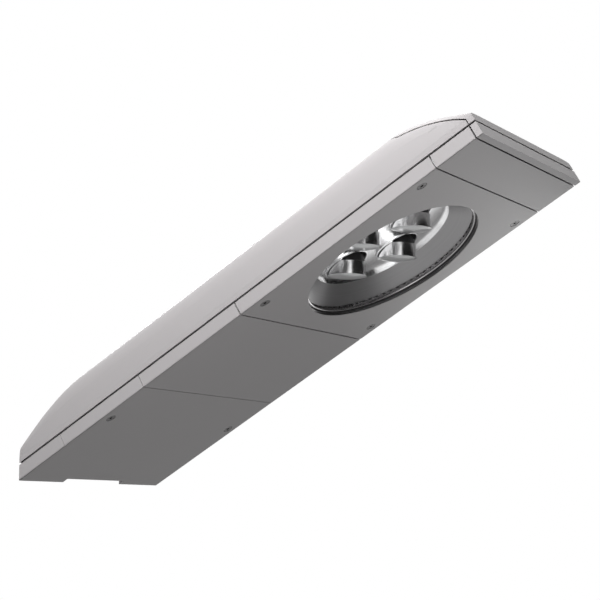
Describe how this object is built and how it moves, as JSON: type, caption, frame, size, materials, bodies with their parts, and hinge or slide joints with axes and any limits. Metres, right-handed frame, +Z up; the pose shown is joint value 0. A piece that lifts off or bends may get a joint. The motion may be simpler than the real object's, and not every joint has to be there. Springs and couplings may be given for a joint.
{
  "type": "led wall light",
  "caption": "Flat rising aluminium wall light: panelled underside with a round recess of upright bright optics, domed top cover, wall bracket at the rear.",
  "frame": {"origin": "midpoint between the two wall bolt holes, on the face that lies against the wall", "axes": "+X straight out from the wall, +Z up the wall, +Y to the far side; the body rises outward at 30 degrees"},
  "size_m": [0.5369, 0.25, 0.3356],
  "materials": {
    "body_paint": "silver grey satin powder coat",
    "black_rubber": "matt",
    "bare_aluminium": "as cast",
    "bezel_metal": "satin",
    "dish_satin": "satin anodised",
    "bright_mirror": "mirror polished",
    "barrel_chrome": "bright",
    "lens_clear": "clear",
    "circuit_board": "white solder mask",
    "led_phosphor": "yellow phosphor",
    "driver_case": "white",
    "grey_plastic": "moulded",
    "screw_steel": "stainless",
    "stud_brass": "plain"
  },
  "bodies": {
    "root": {"wall_bracket": "body_paint", "cable_grommet": "black_rubber", "rear_cover": "body_paint", "mid_panel": "body_paint", "optic_panel": "body_paint", "front_panel": "body_paint", "lower_end_cap": "body_paint", "top_cover": "body_paint", "front_hood": "body_paint", "rim_gasket": "black_rubber", "side_rail_far": "bare_aluminium", "side_rail_near": "bare_aluminium", "crossbars": "bare_aluminium", "gear_tray": "bare_aluminium", "bezel_seal": "black_rubber", "optic_bezel": "bezel_metal", "optic_dish": "dish_satin", "reflector_plate": "bright_mirror", "heat_spreader": "bare_aluminium", "led_chips": "led_phosphor", "led_driver": "driver_case", "surge_protector": "grey_plastic", "terminal_block": "grey_plastic", "panel_screws": "screw_steel", "cover_screws": "screw_steel", "bracket_bolts": "screw_steel", "driver_screws": "screw_steel", "earth_stud": "stud_brass", "optic_barrel_1": "barrel_chrome", "lens_1": "lens_clear", "led_board_1": "circuit_board", "optic_barrel_2": "barrel_chrome", "lens_2": "lens_clear", "led_board_2": "circuit_board", "optic_barrel_3": "barrel_chrome", "lens_3": "lens_clear", "led_board_3": "circuit_board", "optic_barrel_4": "barrel_chrome", "lens_4": "lens_clear", "led_board_4": "circuit_board"}
  },
  "joints": []
}
